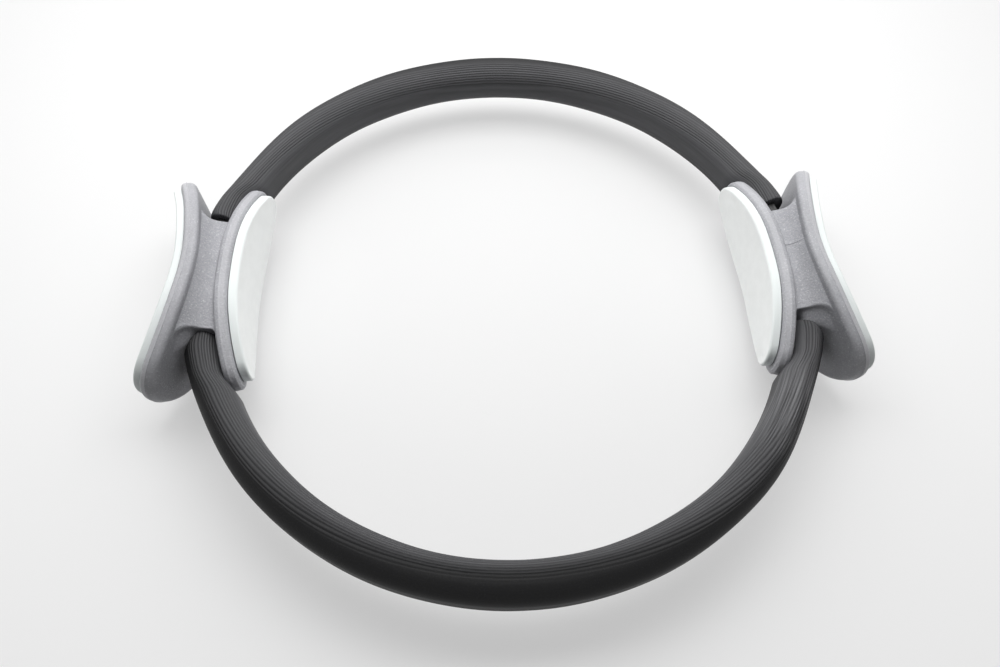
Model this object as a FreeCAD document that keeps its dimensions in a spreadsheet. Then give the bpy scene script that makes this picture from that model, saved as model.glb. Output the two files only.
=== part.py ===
"""Pilates ring, in millimetres: two winged handles joined by two sprung half rings in foam sleeves.

The origin is on the floor under the ring's centre. +X points at the right handle, +Y at the rear crown
and +Z up. Every piece is drawn about the ring's own axis with z = 0 at the ring's middle plane, and is
then lifted by the outer wings' half height, because the ring lies on those wings. Handles are drawn on
the +X side and half rings on the +Y side; a half turn about the axis gives the other one.
"""
import FreeCAD, Part
import math
import os
from types import SimpleNamespace

import Sketcher
from FreeCAD import Placement, Rotation, Vector

# Driving dimensions: alias, value, meaning.
SIZES = [
    ("ring_radius", 168.0, "middle of the band stack to the ring's axis"),
    ("band_wide", 20.0, "band width along the ring's axis"),
    ("band_thick", 1.8, "one band"),
    ("band_gap", 0.2, "between the two bands of a stack"),
    ("band_end_gap", 4.0, "band ends to the handle's middle plane"),
    ("slot_room", 0.2, "round the band stack in the web"),
    ("bore_room", 0.3, "round the band stack in the sleeve"),
    ("sleeve_wall", 8.2, "foam inside and outside the bands"),
    ("sleeve_top_wall", 3.2, "foam above and below the bands"),
    ("sleeve_flat", 0.6, "half the flat between the sleeve section's upper corners"),
    ("rear_sleeve_gap", 6.5, "rear sleeve's ends to the web"),
    ("front_sleeve_gap", 1.7, "front sleeve's ends to the web, the mean of both"),
    ("front_sleeve_slip", 1.2, "what the front sleeve has crept along its bands, away from the right handle"),
    ("squeeze_room", 0.4, "between a sleeve and the handle that pinches it"),
    ("web_wall", 7.0, "web above and below the band slot, at its mouths"),
    ("web_bulge", 2.3, "what the web's middle stands above its mouths"),
    ("web_corner", 3.0, "radius on the web's long corners"),
    ("web_cover", 1.5, "wing left in front of the web"),
    ("web_gap", 8.5, "between the backs of the wings, at their waists"),
    ("web_land", 1.5, "web between its two fillets, at the waist"),
    ("web_end", 5.5, "last screw to the web's mouth"),
    ("outer_bend", 128.0, "radius of the outer wing's hollow face"),
    ("outer_thick", 8.5, "outer wing"),
    ("outer_half_long", 68.0, "half the outer wing's length"),
    ("outer_half_high", 33.0, "half the outer wing's height"),
    ("outer_drop", 8.0, "what the radius of its ends is less than that"),
    ("outer_half_flat", 14.0, "half of the straight run that the ring rests on"),
    ("outer_bevel", 3.6, "bevel round the outer wing's face"),
    ("inner_bend", 250.0, "radius of the inner wing's hollow face"),
    ("inner_thick", 7.0, "inner wing"),
    ("inner_half_long", 64.0, "half the inner wing's length"),
    ("inner_drop", 9.5, "what the radius of its ends is less than its half height"),
    ("inner_half_flat", 12.0, "half of the straight run on its long sides"),
    ("inner_bevel", 2.0, "bevel round the inner wing's face"),
    ("inner_fillet", 1.5, "radius between the web and the inner wing"),
    ("inner_step", 0.5, "flat back of the inner wing above the web's middle"),
    ("back_round", 2.0, "radius round the back of each wing"),
    ("pad_thick", 5.0, "foam pad"),
    ("pad_inset", 0.4, "pad's edge inside the bevel"),
    ("pad_round", 3.0, "radius round the pad's face"),
    ("glue", 0.15, "between a pad and its wing"),
    ("screw_radius", 2.0, "clamping screw"),
    ("head_radius", 4.0, "screw head"),
    ("head_high", 2.8, "screw head"),
    ("head_cover", 0.6, "screw head below the inner wing's face, at its waist"),
    ("hole_room", 0.3, "round the screws, their heads and the nuts"),
    ("nut_across", 7.0, "nut across its flats"),
    ("nut_high", 3.0, "nut"),
    ("nut_wall", 1.46, "between the band slot and the nuts"),
    ("nut_cover", 0.2, "nuts below the outer wing's face, at their nearest corners"),
    ("thread_room", 0.05, "between screw and nut"),
    ("first_screw", 18.0, "handle's middle plane to its nearer screws"),
    ("screw_pitch", 11.5, "between the two screws of a band end"),
]
HANDLES = {"right": 0.0, "left": 180.0}
HALVES = {"rear": 0.0, "front": 180.0}
TRIM = 20.0  # what the trimming cuts reach beyond a wing


class Size:
    """A number that keeps its formula in the sheet's terms, so a dimension is written once."""

    def __init__(self, value, formula):
        self.value = value
        self.formula = formula

    def with_other(self, other, sign, value):
        right = other.formula if isinstance(other, Size) else str(other)
        return Size(value, f"({self.formula} {sign} {right})")

    def __add__(self, other):
        return self.with_other(other, "+", self.value + number(other))

    def __sub__(self, other):
        return self.with_other(other, "-", self.value - number(other))

    def __mul__(self, other):
        return self.with_other(other, "*", self.value * number(other))

    def __truediv__(self, other):
        return self.with_other(other, "/", self.value / number(other))

    def __neg__(self):
        return self * -1


def number(thing):
    return thing.value if isinstance(thing, Size) else float(thing)


def root(size):
    return Size(math.sqrt(size.value), f"sqrt({size.formula})")


NONE = Size(0.0, "0")


def new_sheet(doc):
    """Writes the driving dimensions into the document's sheet and returns them by name."""
    sheet = doc.addObject("Spreadsheet::Sheet", "sizes")
    for row, (alias, value, meaning) in enumerate(SIZES, start=1):
        sheet.set(f"A{row}", alias)
        sheet.set(f"B{row}", str(value))
        sheet.set(f"C{row}", meaning)
        sheet.setAlias(f"B{row}", alias)
    doc.recompute()
    return SimpleNamespace(**{alias: Size(value, f"sizes.{alias}") for alias, value, _ in SIZES})


doc = FreeCAD.newDocument("pilates_ring")
s = new_sheet(doc)
nodes = []

# From the bands outwards: the web round them, the nuts and screw heads, then the wings that cover those.
stack = s.band_thick * 2 + s.band_gap
slot_half_high = s.band_wide / 2 + s.slot_room
mouth = s.first_screw + s.screw_pitch + s.web_end
web_half_high = slot_half_high + s.web_wall
web_half_waist = web_half_high + s.web_bulge
screw_places = [s.first_screw, s.first_screw + s.screw_pitch]
nut_seat = s.ring_radius + stack / 2 + s.slot_room + s.nut_wall
nut_corner = s.first_screw - s.nut_across / math.sqrt(3)
nut_corner_sag = s.outer_bend - root(s.outer_bend * s.outer_bend - nut_corner * nut_corner)
outer_face = nut_seat + s.nut_high + s.nut_cover - nut_corner_sag
inner_face = outer_face - s.outer_thick - s.web_gap - s.inner_thick
inner_half_high = web_half_waist + s.back_round + s.inner_fillet + s.inner_step
head_seat = inner_face + s.head_cover + s.head_high
wings = {
    "outer": SimpleNamespace(
        face=outer_face,
        bend=s.outer_bend,
        thick=s.outer_thick,
        half_long=s.outer_half_long,
        half_high=s.outer_half_high,
        end=s.outer_half_high - s.outer_drop,
        half_flat=s.outer_half_flat,
        bevel=s.outer_bevel,
        fillet=s.web_gap - s.inner_fillet - s.web_land,
    ),
    "inner": SimpleNamespace(
        face=inner_face,
        bend=s.inner_bend,
        thick=s.inner_thick,
        half_long=s.inner_half_long,
        half_high=inner_half_high,
        end=inner_half_high - s.inner_drop,
        half_flat=s.inner_half_flat,
        bevel=s.inner_bevel,
        fillet=s.inner_fillet,
    ),
}


def bind(thing, path, size):
    """Ties a property or a named constraint to the sheet."""
    thing.setExpression(path, size.formula if isinstance(size, Size) else str(size))


def lift(thing, turn):
    """Turns a piece about the ring's axis and lifts it to where the ring lies on the floor."""
    up = Vector(0, 0, 1)
    thing.Placement = Placement(up * s.outer_half_high.value, Rotation(up, number(turn)))
    bind(thing, "Placement.Base.z", s.outer_half_high)
    bind(thing, "Placement.Rotation.Angle", turn)


def finish_node(thing, name):
    """Marks a finished piece for export under its own name."""
    thing.Label = name
    nodes.append(thing)


# Sketches


def new_sketch(body, name, plane, offset=None):
    """A sketch on one of the body's origin planes, moved along that plane's normal."""
    sketch = body.newObject("Sketcher::SketchObject", f"{body.Name}_{name}")
    origin_plane = next(f for f in body.Origin.OriginFeatures if f.Role == f"{plane}_Plane")
    sketch.AttachmentSupport = [(origin_plane, "")]
    sketch.MapMode = "FlatFace"
    if offset:
        bind(sketch, "AttachmentOffset.Base.z", offset)
    return sketch


def rule(sketch, *constraint):
    return sketch.addConstraint(Sketcher.Constraint(*constraint))


def dimension(sketch, size, *constraint):
    """Adds a dimension with the size's value and ties it to the sheet."""
    index = rule(sketch, *constraint, number(size))
    sketch.renameConstraint(index, f"size{index}")
    bind(sketch, f"Constraints.size{index}", size)


def place(sketch, curve, point, across, up):
    """Holds a point of a curve at a distance across and up from the sketch's origin."""
    for kind, size in (("DistanceX", across), ("DistanceY", up)):
        if number(size):
            dimension(sketch, size, kind, -1, 1, curve, point)
        else:
            rule(sketch, "PointOnObject", curve, point, -2 if kind == "DistanceX" else -1)


def arc(centre, radius, start, end):
    """Arc from start to end, in degrees counter-clockwise."""
    circle = Part.Circle(Vector(*centre, 0), Vector(0, 0, 1), radius)
    return Part.ArcOfCircle(circle, math.radians(start), math.radians(end))


def line(start, end):
    return Part.LineSegment(Vector(*start, 0), Vector(*end, 0))


def chain(sketch, curves, kind):
    """Adds curves in a closed chain, each one's end held to the next one's start."""
    added = [sketch.addGeometry(curve) for curve in curves]
    for first, second in zip(added, added[1:] + added[:1]):
        rule(sketch, kind, first, 2, second, 1)
    return added


def add_circle(sketch, across, radius):
    circle = sketch.addGeometry(Part.Circle(Vector(number(across), 0, 0), Vector(0, 0, 1), radius.value))
    place(sketch, circle, 3, across, NONE)
    dimension(sketch, radius, "Radius", circle)


def add_hexagon(sketch, across, flats):
    """Nut outline with its centre on the sketch's horizontal axis."""
    radius = flats / math.sqrt(3)
    angles = [math.radians(60 * k) for k in range(6)]
    corners = [(number(across) + radius.value * math.cos(a), radius.value * math.sin(a)) for a in angles]
    sides = chain(sketch, [line(corners[k], corners[(k + 1) % 6]) for k in range(6)], "Coincident")
    ring = sketch.addGeometry(Part.Circle(Vector(number(across), 0, 0), Vector(0, 0, 1), radius.value), True)
    place(sketch, ring, 3, across, NONE)
    dimension(sketch, radius, "Radius", ring)
    for side in sides:
        rule(sketch, "PointOnObject", side, 1, ring)
    for side in sides[1:]:
        rule(sketch, "Equal", sides[0], side)
    rule(sketch, "Horizontal", sides[1])


def add_rectangle(sketch, across, half_wide, half_high):
    """Rectangle with its centre on the sketch's horizontal axis."""
    low, high = number(across) - number(half_wide), number(across) + number(half_wide)
    top = number(half_high)
    corners = [(low, -top), (high, -top), (high, top), (low, top)]
    sides = chain(sketch, [line(corners[k], corners[(k + 1) % 4]) for k in range(4)], "Coincident")
    rule(sketch, "Horizontal", sides[0])
    rule(sketch, "Vertical", sides[1])
    rule(sketch, "Horizontal", sides[2])
    rule(sketch, "Symmetric", sides[3], 1, sides[3], 2, -1)
    dimension(sketch, half_high * 2, "DistanceY", sides[1], 1, sides[1], 2)
    dimension(sketch, half_wide * 2, "DistanceX", sides[0], 1, sides[0], 2)
    dimension(sketch, across + half_wide, "DistanceX", -1, 1, sides[0], 2)


def add_rounded_rectangle(sketch, across, half_wide, half_high, corner):
    """Rectangle with round corners, its centre on the sketch's horizontal axis."""
    mid, wide, high, r = (number(v) for v in (across, half_wide, half_high, corner))
    x, y = wide - r, high - r
    curves = [
        line((mid - x, -high), (mid + x, -high)),
        arc((mid + x, -y), r, 270, 360),
        line((mid + wide, -y), (mid + wide, y)),
        arc((mid + x, y), r, 0, 90),
        line((mid + x, high), (mid - x, high)),
        arc((mid - x, y), r, 90, 180),
        line((mid - wide, y), (mid - wide, -y)),
        arc((mid - x, -y), r, 180, 270),
    ]
    added = chain(sketch, curves, "Tangent")
    for k in (3, 5, 7):
        rule(sketch, "Equal", added[1], added[k])
    dimension(sketch, corner, "Radius", added[1])
    place(sketch, added[1], 3, across + half_wide - corner, corner - half_high)
    place(sketch, added[5], 3, across - half_wide + corner, half_high - corner)
    for k in (0, 4):
        rule(sketch, "Horizontal", added[k])
        rule(sketch, "Vertical", added[k + 2])


def add_barrel(sketch, half_long, half_high, half_waist, corner):
    """Web outline: square ends, bulging long sides and round corners."""
    rise = half_waist - half_high
    bulge = (half_long * half_long + rise * rise) / (rise * 2)
    drop = bulge - half_waist
    long, big, low, r = (v.value for v in (half_long, bulge, drop, corner))
    x = long - r
    y = math.sqrt((big - r) ** 2 - x**2) - low
    turn = math.degrees(math.atan2(y + low, x))
    curves = [
        line((long, -y), (long, y)),
        arc((x, y), r, 0, turn),
        arc((0, -low), big, turn, 180 - turn),
        arc((-x, y), r, 180 - turn, 180),
        line((-long, y), (-long, -y)),
        arc((-x, -y), r, 180, 180 + turn),
        arc((0, low), big, 180 + turn, 360 - turn),
        arc((x, -y), r, 360 - turn, 360),
    ]
    added = chain(sketch, curves, "Tangent")
    dimension(sketch, corner, "Radius", added[1])
    for k in (3, 5, 7):
        rule(sketch, "Equal", added[1], added[k])
    dimension(sketch, bulge, "Radius", added[2])
    rule(sketch, "Equal", added[2], added[6])
    place(sketch, added[2], 3, NONE, -drop)
    place(sketch, added[6], 3, NONE, drop)
    for end, across in ((added[0], half_long), (added[4], -half_long)):
        rule(sketch, "Vertical", end)
        dimension(sketch, across, "DistanceX", -1, 1, end, 1)


def add_oval(sketch, wing, inset):
    """Wing outline: straight runs on the long sides, then shoulders and round ends, all smooth."""
    half_high = wing.half_high - inset
    end = wing.end - inset
    reach = wing.half_long - wing.end
    flat, high, far, r = (v.value for v in (wing.half_flat, half_high, reach, end))
    shoulder = (high**2 + (far - flat) ** 2 - r**2) / (2 * (high - r))
    drop = shoulder - high
    turn = math.degrees(math.atan2(drop, far - flat))
    curves = [
        arc((far, 0), r, -turn, turn),
        arc((flat, -drop), shoulder, turn, 90),
        line((flat, high), (-flat, high)),
        arc((-flat, -drop), shoulder, 90, 180 - turn),
        arc((-far, 0), r, 180 - turn, 180 + turn),
        arc((-flat, drop), shoulder, 180 + turn, 270),
        line((-flat, -high), (flat, -high)),
        arc((flat, drop), shoulder, 270, 360 - turn),
    ]
    added = chain(sketch, curves, "Tangent")
    dimension(sketch, end, "Radius", added[0])
    rule(sketch, "Equal", added[0], added[4])
    place(sketch, added[0], 3, reach, NONE)
    place(sketch, added[4], 3, -reach, NONE)
    for run, across, up in ((2, wing.half_flat, half_high), (6, -wing.half_flat, -half_high)):
        place(sketch, added[run], 1, across, up)
        rule(sketch, "Symmetric", added[run], 1, added[run], 2, -2)


def add_plate(sketch, wing, outwards, near, far):
    """Plan of a bent plate: two arcs about the bend's centre, near and far from the wing's face."""
    sign = 1 if outwards else -1
    centre = wing.face + wing.bend * sign
    half_long = wing.half_long + TRIM
    near_arc, far_arc = wing.bend + near, wing.bend + far
    mid = centre.value
    turns = [math.degrees(math.asin(half_long.value / radius.value)) for radius in (near_arc, far_arc)]
    middle = 180 if outwards else 0
    first = arc((mid, 0), near_arc.value, middle - turns[0], middle + turns[0])
    second = arc((mid, 0), far_arc.value, middle - turns[1], middle + turns[1])
    ends = [[(p.x, p.y) for p in (curve.StartPoint, curve.EndPoint)] for curve in (first, second)]
    arcs = [sketch.addGeometry(curve) for curve in (first, second)]
    for arc_index, radius in zip(arcs, (near_arc, far_arc)):
        place(sketch, arc_index, 3, centre, NONE)
        dimension(sketch, radius, "Radius", arc_index)
        rule(sketch, "Symmetric", arc_index, 1, arc_index, 2, -1)
        dimension(sketch, half_long * 2 * sign, "DistanceY", arc_index, 2, arc_index, 1)
    for point in (1, 2):
        side = sketch.addGeometry(line(ends[0][point - 1], ends[1][point - 1]))
        rule(sketch, "Coincident", side, 1, arcs[0], point)
        rule(sketch, "Coincident", side, 2, arcs[1], point)


# Features


def pad(body, sketch, length, symmetric=False):
    feature = body.newObject("PartDesign::Pad", f"{sketch.Name}_pad")
    feature.Profile = sketch
    bind(feature, "Length", length)
    if symmetric:
        feature.SideType = "Symmetric"
    doc.recompute()


def cut_through(body, sketch, outwards=True, symmetric=False):
    """Cuts a sketch right through the body, along its normal or against it, and checks that it cut."""
    before = body.Tip.Shape.Volume
    feature = body.newObject("PartDesign::Pocket", f"{sketch.Name}_cut")
    feature.Profile = sketch
    feature.Type = "ThroughAll"
    feature.Reversed = outwards
    if symmetric:
        feature.SideType = "Symmetric"
    doc.recompute()
    if feature.Shape.Volume >= before:
        raise ValueError(f"{feature.Name} cuts nothing")


def turn_about_axis(body, sketch, kind, angle):
    """Revolves a sketch, or cuts it as a groove, evenly to both sides about the ring's axis."""
    feature = body.newObject(f"PartDesign::{kind}", f"{sketch.Name}_turn")
    feature.Profile = sketch
    feature.ReferenceAxis = (sketch, ["V_Axis"])
    feature.Midplane = True
    feature.setExpression("Angle", angle)
    doc.recompute()


def dress_edges(body, kind, edges, size):
    """Bevels or rounds edges of the body's last feature."""
    base = body.Tip
    names = [f"Edge{k}" for k, e in enumerate(base.Shape.Edges, start=1) if any(e.isSame(w) for w in edges)]
    feature = body.newObject(f"PartDesign::{kind}", f"{body.Name}_{kind.lower()}")
    feature.Base = (base, names)
    bind(feature, "Size" if kind == "Chamfer" else "Radius", size)
    doc.recompute()


def bent_face(body, radius):
    """The body's face on the bend of this radius."""
    faces = [f for f in body.Tip.Shape.Faces if isinstance(f.Surface, Part.Cylinder)]
    upright = [f for f in faces if abs(f.Surface.Axis.z) > 0.5]
    return next(f for f in upright if math.isclose(f.Surface.Radius, radius.value))


def bent_oval(body, name, wing, near, far, inset):
    """A bent plate of a wing's outline, with its two sides at near and far from the wing's face."""
    outwards = wing is wings["outer"]
    plan = new_sketch(body, f"{name}_plan", "XY")
    add_plate(plan, wing, outwards, near, far)
    pad(body, plan, (wing.half_high + TRIM / 2) * 2, symmetric=True)
    outline = new_sketch(body, f"{name}_outline", "YZ")
    add_oval(outline, wing, inset)
    add_rectangle(outline, NONE, wing.half_long + TRIM * 2, wing.half_high + TRIM)
    cut_through(body, outline)


# Pieces


def web_and_wings(body, room):
    """The web and a wing on each side of it, larger by room wherever a sleeve meets them."""
    web_start = inner_face + s.web_cover
    web = new_sketch(body, "web", "YZ", web_start)
    add_barrel(web, mouth + room, web_half_high, web_half_waist, s.web_corner)
    pad(body, web, outer_face - s.web_cover - web_start)
    for name in ("inner", "outer"):
        bent_oval(body, name, wings[name], NONE, wings[name].thick + room, -room)


def fillet_web(body, room):
    """Rounds the web into the backs of the wings."""
    for wing in wings.values():
        back = bent_face(body, wing.bend + wing.thick + room)
        joint = [e for w in back.Wires if not w.isSame(back.OuterWire) for e in w.Edges]
        dress_edges(body, "Fillet", joint, wing.fillet - room)


def handle_body(name, turn):
    """One moulding: the web, a wing on each side of it, the band slot and the screw holes."""
    body = doc.addObject("PartDesign::Body", name)
    web_and_wings(body, NONE)
    for wing in wings.values():
        dress_edges(body, "Chamfer", bent_face(body, wing.bend).OuterWire.Edges, wing.bevel)
    for wing in wings.values():
        back = bent_face(body, wing.bend + wing.thick)
        dress_edges(body, "Fillet", back.OuterWire.Edges, s.back_round)
    fillet_web(body, NONE)
    cut_band_slot(body)
    cut_screw_holes(body)
    lift(body, turn)
    finish_node(body, f"{name}_body")


def cut_band_slot(body):
    """Slot through the web on the ring's own arc, open at both mouths."""
    section = new_sketch(body, "slot", "XZ")
    add_rectangle(section, s.ring_radius, stack / 2 + s.slot_room, slot_half_high)
    reach = f"asin({(mouth + s.band_thick).formula} / {s.ring_radius.formula})"
    turn_about_axis(body, section, "Groove", f"2 * {reach}")


def cut_screw_holes(body):
    """Clearance holes, counterbores under the inner pad and nut pockets under the outer pad."""
    places = screw_places + [-p for p in screw_places]
    holes = new_sketch(body, "holes", "YZ")
    bores = new_sketch(body, "bores", "YZ", head_seat)
    pockets = new_sketch(body, "nuts", "YZ", nut_seat)
    for across in places:
        add_circle(holes, across, s.screw_radius + s.hole_room)
        add_circle(bores, across, s.head_radius + s.hole_room)
        add_hexagon(pockets, across, s.nut_across + s.hole_room * 2)
    cut_through(body, holes)
    cut_through(body, bores, outwards=False)
    cut_through(body, pockets)


def foam_pad(name, wing, turn):
    """Foam pad glued on a wing's face, with its outer edge rounded."""
    body = doc.addObject("PartDesign::Body", name)
    near = -(s.glue + s.pad_thick)
    bent_oval(body, "foam", wing, near, -s.glue, wing.bevel + s.pad_inset)
    face = bent_face(body, wing.bend + near)
    dress_edges(body, "Fillet", face.OuterWire.Edges, s.pad_round)
    lift(body, turn)
    finish_node(body, name)


def half_ring(name, radius, half_wide, half_high, start, turn, corner=None):
    """A section turned about the ring's axis, from a distance start off the XZ plane at both ends."""
    body = doc.addObject("PartDesign::Body", name)
    section = new_sketch(body, "section", "YZ")
    if corner:
        add_rounded_rectangle(section, radius, half_wide, half_high, corner)
        add_rectangle(section, s.ring_radius, stack / 2 + s.bore_room, s.band_wide / 2 + s.bore_room)
    else:
        add_rectangle(section, radius, half_wide, half_high)
    span = f"180 deg - 2 * asin({start.formula} / {s.ring_radius.formula})"
    turn_about_axis(body, section, "Revolution", span)
    lift(body, turn)
    return body


def bands(half, turn):
    """The two spring bands of a half ring, drilled at both ends for the screws."""
    step = (s.band_thick + s.band_gap) / 2
    for layer, radius in (("outer", s.ring_radius + step), ("inner", s.ring_radius - step)):
        name = f"{half}_{layer}_band"
        body = half_ring(name, radius, s.band_thick / 2, s.band_wide / 2, s.band_end_gap, turn)
        holes = new_sketch(body, "holes", "YZ")
        for across in screw_places:
            add_circle(holes, across, s.screw_radius + s.hole_room)
        cut_through(body, holes, symmetric=True)
        finish_node(body, name)


def handle_room():
    """The space that both handles take, with the room that a sleeve leaves round them."""
    spaces = []
    for side, turn in HANDLES.items():
        body = doc.addObject("PartDesign::Body", f"{side}_room")
        web_and_wings(body, s.squeeze_room)
        fillet_web(body, s.squeeze_room)
        lift(body, turn)
        spaces.append(body)
    room = doc.addObject("Part::Compound", "handle_room")
    room.Links = spaces
    return room


def sleeve(half, gap, turn, room):
    """Foam sleeve round the bands, pinched between the wings at its ends."""
    name = f"{half}_sleeve"
    half_thick = stack / 2 + s.bore_room + s.sleeve_wall
    half_high = s.band_wide / 2 + s.bore_room + s.sleeve_top_wall
    corner = half_thick - s.sleeve_flat
    body = half_ring(f"{name}_tube", s.ring_radius, half_thick, half_high, mouth + gap, turn, corner)
    pinched = doc.addObject("Part::Cut", name)
    pinched.Base = body
    pinched.Tool = room
    finish_node(pinched, name)


def cylinder(name, radius, length, start, across):
    """Round bar along X from start, off the handle's middle plane by across."""
    bar = doc.addObject("Part::Cylinder", name)
    bar.Placement = Placement(Vector(start.value, across.value, 0), Rotation(Vector(0, 1, 0), 90))
    bind(bar, "Radius", radius)
    bind(bar, "Height", length)
    bind(bar, "Placement.Base.x", start)
    bind(bar, "Placement.Base.y", across)
    return bar


def fasteners(side, turn):
    """Screws from under the inner pad and their nuts under the outer pad."""
    screws, nuts = [], []
    for k, across in enumerate(screw_places + [-p for p in screw_places]):
        head = cylinder(f"{side}_head_{k}", s.head_radius, s.head_high, head_seat - s.head_high, across)
        grip = nut_seat + s.nut_high - head_seat
        shank = cylinder(f"{side}_shank_{k}", s.screw_radius, grip, head_seat, across)
        screw = doc.addObject("Part::Fuse", f"{side}_screw_{k}")
        screw.Base, screw.Tool = head, shank
        screws.append(screw)
        block = doc.addObject("Part::Prism", f"{side}_nut_block_{k}")
        corner_up = Rotation(Vector(0, 1, 0), 90)
        flat_up = corner_up * Rotation(Vector(0, 0, 1), 30)
        block.Placement = Placement(Vector(nut_seat.value, across.value, 0), flat_up)
        bind(block, "Circumradius", s.nut_across / math.sqrt(3))
        bind(block, "Height", s.nut_high)
        bind(block, "Placement.Base.x", nut_seat)
        bind(block, "Placement.Base.y", across)
        bore = cylinder(f"{side}_thread_{k}", s.screw_radius + s.thread_room, s.nut_high, nut_seat, across)
        nut = doc.addObject("Part::Cut", f"{side}_nut_{k}")
        nut.Base, nut.Tool = block, bore
        nuts.append(nut)
    for kind, group in (("screws", screws), ("nuts", nuts)):
        pieces = doc.addObject("Part::Compound", f"{side}_{kind}")
        pieces.Links = group
        lift(pieces, turn)
        finish_node(pieces, f"{side}_{kind}")


def export():
    """Checks every object and writes each piece to its own file."""
    doc.recompute()
    for thing in doc.Objects:
        if "Invalid" in thing.State or "Error" in thing.State:
            raise ValueError(f"{thing.Name} failed: {thing.State}")
    for piece in nodes:
        if piece.Shape.isNull() or not piece.Shape.isValid():
            raise ValueError(f"{piece.Label} has no valid shape")
    os.makedirs("parts", exist_ok=True)
    for piece in nodes:
        piece.Shape.exportStep(f"parts/{piece.Label}.step")
        print(piece.Label, len(piece.Shape.Solids), "solids", round(piece.Shape.Volume / 1000, 2), "cm3")


for side, turn in HANDLES.items():
    handle_body(f"{side}_handle", turn)
    for wing_name, wing in wings.items():
        foam_pad(f"{side}_{wing_name}_pad", wing, turn)
    fasteners(side, turn)
for half, turn in HALVES.items():
    bands(half, turn)
room = handle_room()
slip_angle = s.front_sleeve_slip / s.ring_radius * math.degrees(1)
sleeve("rear", s.rear_sleeve_gap, HALVES["rear"], room)
sleeve("front", s.front_sleeve_gap, -slip_angle + HALVES["front"], room)
export()
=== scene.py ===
import math
from types import SimpleNamespace

import bmesh
import bpy
import numpy as np
from mathutils import Matrix, Vector


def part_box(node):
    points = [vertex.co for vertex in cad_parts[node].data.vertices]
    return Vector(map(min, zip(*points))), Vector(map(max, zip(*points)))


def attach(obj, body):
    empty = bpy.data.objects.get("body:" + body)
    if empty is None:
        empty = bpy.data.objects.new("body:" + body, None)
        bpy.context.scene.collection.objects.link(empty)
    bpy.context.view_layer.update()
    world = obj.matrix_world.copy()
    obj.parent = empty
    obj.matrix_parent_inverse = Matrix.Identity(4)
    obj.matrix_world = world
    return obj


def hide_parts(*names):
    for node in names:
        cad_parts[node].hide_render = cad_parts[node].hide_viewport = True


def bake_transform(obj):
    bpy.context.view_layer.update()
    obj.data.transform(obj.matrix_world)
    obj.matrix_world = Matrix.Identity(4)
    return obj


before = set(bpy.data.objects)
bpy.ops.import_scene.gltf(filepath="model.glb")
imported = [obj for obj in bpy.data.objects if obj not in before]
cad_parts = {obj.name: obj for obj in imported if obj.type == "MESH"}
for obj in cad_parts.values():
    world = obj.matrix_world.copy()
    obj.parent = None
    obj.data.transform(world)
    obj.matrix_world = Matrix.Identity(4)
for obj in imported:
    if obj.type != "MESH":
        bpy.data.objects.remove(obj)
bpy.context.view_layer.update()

# Looks of the pilates ring: grey moulded handles, white foam pads and dark ribbed foam sleeves. A handle and
# its pads are drawn on the +X side about the ring's middle plane, and then turned and lifted into place.

MM = 0.001
RING = 168.0 * MM  # middle of the band stack to the ring's axis
MIDDLE = sum(corner[2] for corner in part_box("right_handle_body")) / 2  # height of the ring's middle plane
HANDLES = {"right": 0.0, "left": math.pi}  # turn of each handle about the ring's axis
WING_SHIFT = {"right": 0.8 * MM, "left": -2.4 * MM}  # how far the wings sit off the middle of their web
HALVES = {"rear": 1, "front": -1}  # the side of the XZ plane that each half lies on

# Wings of a handle: distance of the face from the ring's axis, radius of its bend, thickness, the side it
# faces, its outline, the inset of the pad's edge, and how strongly the painted highlight along its rim
# shows.
WINGS = {
    "outer": SimpleNamespace(
        face=174 * MM, bend=128 * MM, thick=8.5 * MM, side=1, half_long=69 * MM, half_high=33 * MM,
        end=25 * MM, flat=14 * MM, pad_inset=4.0 * MM, painted_highlight=1.0,
    ),
    "inner": SimpleNamespace(
        face=150 * MM, bend=250 * MM, thick=7 * MM, side=-1, half_long=65 * MM, half_high=23.5 * MM,
        end=14 * MM, flat=12 * MM, pad_inset=2.4 * MM, painted_highlight=0.6,
    ),
}
# Rim sections as corners, in millimetres: inset from the outline, depth below the face and corner radius.
RIMS = {
    "outer": [
        (9.0, 0, 0), (3.8, 0, 0.3), (1.1, 1.4, 3.0), (0.35, 3.9, 0.2), (0, 4.25, 0.3), (0.35, 4.6, 0.2),
        (0.45, 8.5, 2.4), (9.0, 8.5, 0),
    ],
    "inner": [
        (6.0, 0, 0), (2.1, 0, 0.3), (0.65, 1.3, 1.0), (0.25, 3.4, 0.8), (0, 4.2, 1.2), (0.25, 7.0, 1.6),
        (6.0, 7.0, 0),
    ],
}
PAD_THICK = {"outer": 4.8 * MM, "inner": 5 * MM}
PAD_SHORT = {"outer": 0.5 * MM, "inner": 2 * MM}  # what a pad stays short of its wing's face at each end
PAD_SHIFT = {"outer": 0.0, "inner": 1 * MM}  # how far a pad sits towards the rear
PAD_GLUE = 0.15 * MM  # from the wing's face to the pad's back
PAD_DRAFT = 0.3 * MM  # what the pad's edge slopes in by over its thickness
PAD_ROUND = 1.5 * MM
PAD_BACK_ROUND = 0.25 * MM
PAD_RIM = 6 * MM  # width of the rim that these corners lie in
PAD_CROWN = 0.25 * MM

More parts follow.
